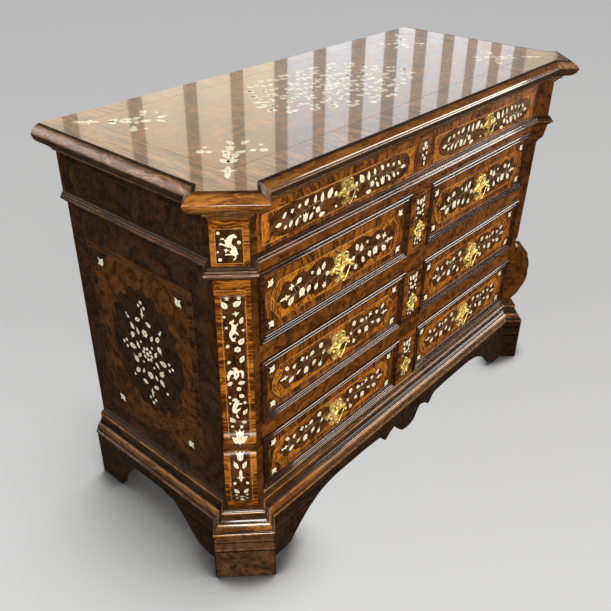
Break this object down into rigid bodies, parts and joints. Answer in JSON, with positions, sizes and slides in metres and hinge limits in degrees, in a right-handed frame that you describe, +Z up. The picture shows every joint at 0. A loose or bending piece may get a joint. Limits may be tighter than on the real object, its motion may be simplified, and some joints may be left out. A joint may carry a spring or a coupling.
{
  "type": "commode",
  "caption": "Baroque walnut commode with sliding drawers in raised dark frames, canted scroll pilasters, stepped mouldings, shaped apron and hinged gilt brass bail pulls.",
  "frame": {"origin": "middle of the overall box's bottom face, on the floor", "axes": "+X to the right of someone facing the drawers, +Y to the back, +Z up"},
  "size_m": [1.4532, 0.624, 1],
  "materials": {
    "veneer": "polished walnut veneer",
    "dark_moulding": "polished ebonised wood",
    "plain_wood": "bare poplar",
    "gilt_brass": "aged gilt",
    "lock_steel": "dark forged iron"
  },
  "bodies": {
    "carcass": {"top_panel": "veneer", "side_panel_left": "veneer", "side_panel_right": "veneer", "corner_post_left": "veneer", "corner_post_right": "veneer", "console_left": "veneer", "console_right": "veneer", "divider_1": "veneer", "divider_2": "veneer", "divider_3": "veneer", "carcass_bottom": "veneer", "centre_stile": "veneer", "apron_front": "veneer", "apron_side_left": "veneer", "apron_side_right": "veneer", "foot_front_left": "veneer", "foot_front_right": "veneer", "top_moulding_front": "dark_moulding", "top_moulding_left": "dark_moulding", "top_moulding_right": "dark_moulding", "string_course_front": "dark_moulding", "string_course_left": "dark_moulding", "string_course_right": "dark_moulding", "base_moulding_front": "dark_moulding", "base_moulding_left": "dark_moulding", "base_moulding_right": "dark_moulding", "back_panel": "plain_wood", "top_rail": "plain_wood"},
    "drawer_1_left": {"drawer_1_left_front": "veneer", "drawer_1_left_tray": "plain_wood", "drawer_1_left_plate": "gilt_brass"},
    "drawer_1_right": {"drawer_1_right_front": "veneer", "drawer_1_right_tray": "plain_wood", "drawer_1_right_plate": "gilt_brass"},
    "drawer_2": {"drawer_2_front": "veneer", "drawer_2_frames": "dark_moulding", "drawer_2_tray": "plain_wood", "drawer_2_brass": "gilt_brass", "lock_case_2": "lock_steel"},
    "drawer_3": {"drawer_3_front": "veneer", "drawer_3_frames": "dark_moulding", "drawer_3_tray": "plain_wood", "drawer_3_brass": "gilt_brass", "lock_case_3": "lock_steel"},
    "drawer_4": {"drawer_4_front": "veneer", "drawer_4_frames": "dark_moulding", "drawer_4_tray": "plain_wood", "drawer_4_brass": "gilt_brass", "lock_case_4": "lock_steel"},
    "bail_1_left": {"bail_1_left": "gilt_brass"},
    "bail_1_right": {"bail_1_right": "gilt_brass"},
    "bail_2_left": {"bail_2_left": "gilt_brass"},
    "bail_2_right": {"bail_2_right": "gilt_brass"},
    "bail_3_left": {"bail_3_left": "gilt_brass"},
    "bail_3_right": {"bail_3_right": "gilt_brass"},
    "bail_4_left": {"bail_4_left": "gilt_brass"},
    "bail_4_right": {"bail_4_right": "gilt_brass"},
    "lock_bolt_2": {"lock_bolt_2": "lock_steel"},
    "lock_bolt_3": {"lock_bolt_3": "lock_steel"},
    "lock_bolt_4": {"lock_bolt_4": "lock_steel"}
  },
  "joints": [
    {"name": "drawer_1_left_slide", "type": "slide", "parent": "carcass", "child": "drawer_1_left", "axis": [0, -1, 0], "range_m": [0, 0.4]},
    {"name": "drawer_1_right_slide", "type": "slide", "parent": "carcass", "child": "drawer_1_right", "axis": [0, -1, 0], "range_m": [0, 0.4]},
    {"name": "drawer_2_slide", "type": "slide", "parent": "carcass", "child": "drawer_2", "axis": [0, -1, 0], "range_m": [0, 0.4]},
    {"name": "drawer_3_slide", "type": "slide", "parent": "carcass", "child": "drawer_3", "axis": [0, -1, 0], "range_m": [0, 0.4]},
    {"name": "drawer_4_slide", "type": "slide", "parent": "carcass", "child": "drawer_4", "axis": [0, -1, 0], "range_m": [0, 0.4]},
    {"name": "bail_1_left_swing", "type": "hinge", "parent": "drawer_1_left", "child": "bail_1_left", "pos_m": [-0.298, -0.2306, 0.881], "axis": [-1, 0, 0], "range_deg": [0, 80]},
    {"name": "bail_1_right_swing", "type": "hinge", "parent": "drawer_1_right", "child": "bail_1_right", "pos_m": [0.298, -0.2306, 0.881], "axis": [-1, 0, 0], "range_deg": [0, 80]},
    {"name": "bail_2_left_swing", "type": "hinge", "parent": "drawer_2", "child": "bail_2_left", "pos_m": [-0.30525, -0.2286, 0.7015], "axis": [-1, 0, 0], "range_deg": [0, 80]},
    {"name": "bail_2_right_swing", "type": "hinge", "parent": "drawer_2", "child": "bail_2_right", "pos_m": [0.30525, -0.2286, 0.7015], "axis": [-1, 0, 0], "range_deg": [0, 80]},
    {"name": "bail_3_left_swing", "type": "hinge", "parent": "drawer_3", "child": "bail_3_left", "pos_m": [-0.30525, -0.2286, 0.48925], "axis": [-1, 0, 0], "range_deg": [0, 80]},
    {"name": "bail_3_right_swing", "type": "hinge", "parent": "drawer_3", "child": "bail_3_right", "pos_m": [0.30525, -0.2286, 0.48925], "axis": [-1, 0, 0], "range_deg": [0, 80]},
    {"name": "bail_4_left_swing", "type": "hinge", "parent": "drawer_4", "child": "bail_4_left", "pos_m": [-0.30525, -0.2286, 0.28325], "axis": [-1, 0, 0], "range_deg": [0, 80]},
    {"name": "bail_4_right_swing", "type": "hinge", "parent": "drawer_4", "child": "bail_4_right", "pos_m": [0.30525, -0.2286, 0.28325], "axis": [-1, 0, 0], "range_deg": [0, 80]},
    {"name": "lock_bolt_2_throw", "type": "slide", "parent": "drawer_2", "child": "lock_bolt_2", "axis": [0, 0, 1], "range_m": [0, 0.012]},
    {"name": "lock_bolt_3_throw", "type": "slide", "parent": "drawer_3", "child": "lock_bolt_3", "axis": [0, 0, 1], "range_m": [0, 0.012]},
    {"name": "lock_bolt_4_throw", "type": "slide", "parent": "drawer_4", "child": "lock_bolt_4", "axis": [0, 0, 1], "range_m": [0, 0.012]}
  ]
}
